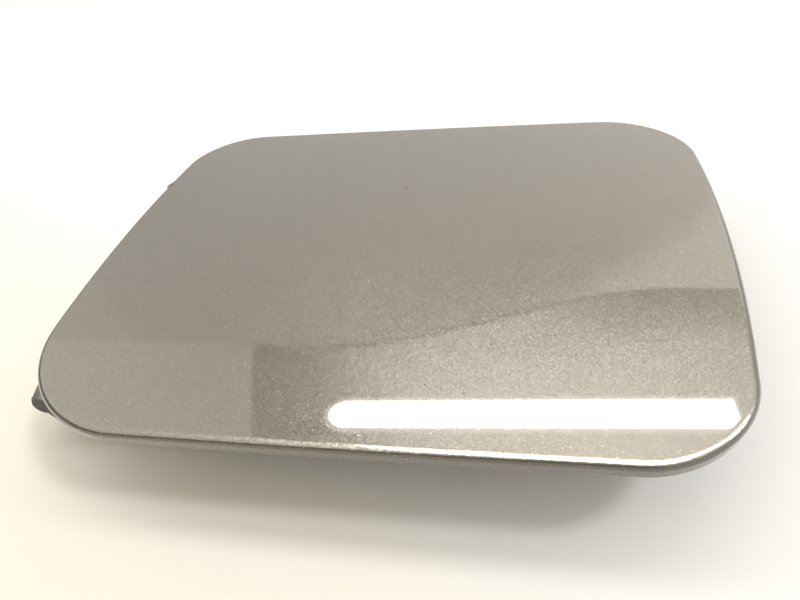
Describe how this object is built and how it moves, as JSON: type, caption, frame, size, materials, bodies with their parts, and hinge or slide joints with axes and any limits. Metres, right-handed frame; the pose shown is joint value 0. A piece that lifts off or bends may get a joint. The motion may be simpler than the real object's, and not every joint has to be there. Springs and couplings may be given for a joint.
{
  "type": "car fuel door",
  "caption": "Painted fuel filler door on a sprung gooseneck hinge, with a striker, rubber stops and a rest for the filler cap behind it.",
  "frame": {"origin": "middle of the hinge bracket's four bolts, on its mounting face", "axes": "+X across the car's side from the hinge to the latch, +Y up the car along the hinge pin, +Z out of the car through the painted face"},
  "size_m": [0.2128, 0.1605, 0.037],
  "materials": {
    "paint": "warm grey metallic under clear coat",
    "paint_inner": "warm grey metallic, thin and dull",
    "foam": "open foam",
    "zinc": "bright zinc",
    "zinc_black": "black zinc",
    "pin_steel": "ground steel",
    "spring_steel": "oiled spring steel",
    "plastic_arm": "grained black, dusty",
    "plastic_bracket": "grained black",
    "bush": "natural acetal",
    "rubber": "moulded black"
  },
  "bodies": {
    "bracket": {"hinge_bracket": "plastic_bracket", "bolt_sleeves": "zinc", "hinge_pin": "pin_steel", "pin_clip": "spring_steel", "torsion_spring": "spring_steel", "spring_sleeve": "bush", "open_buffer": "rubber"},
    "door": {"outer_skin": "paint", "inner_panel": "paint_inner", "flutter_pads": "foam", "weld_nuts": "zinc", "hinge_arm": "plastic_arm", "arm_screws": "zinc_black", "bush_near": "bush", "bush_far": "bush", "latch_striker": "plastic_arm", "striker_screws": "zinc_black", "striker_nuts": "zinc", "bump_stops": "rubber", "cap_holder": "plastic_arm", "cap_holder_rivets": "plastic_arm"}
  },
  "joints": [
    {"name": "door_hinge", "type": "hinge", "parent": "bracket", "child": "door", "pos_m": [-0.018, 0, 0.017], "axis": [0, -1, 0], "range_deg": [0, 95], "deforming": ["torsion_spring"]}
  ]
}
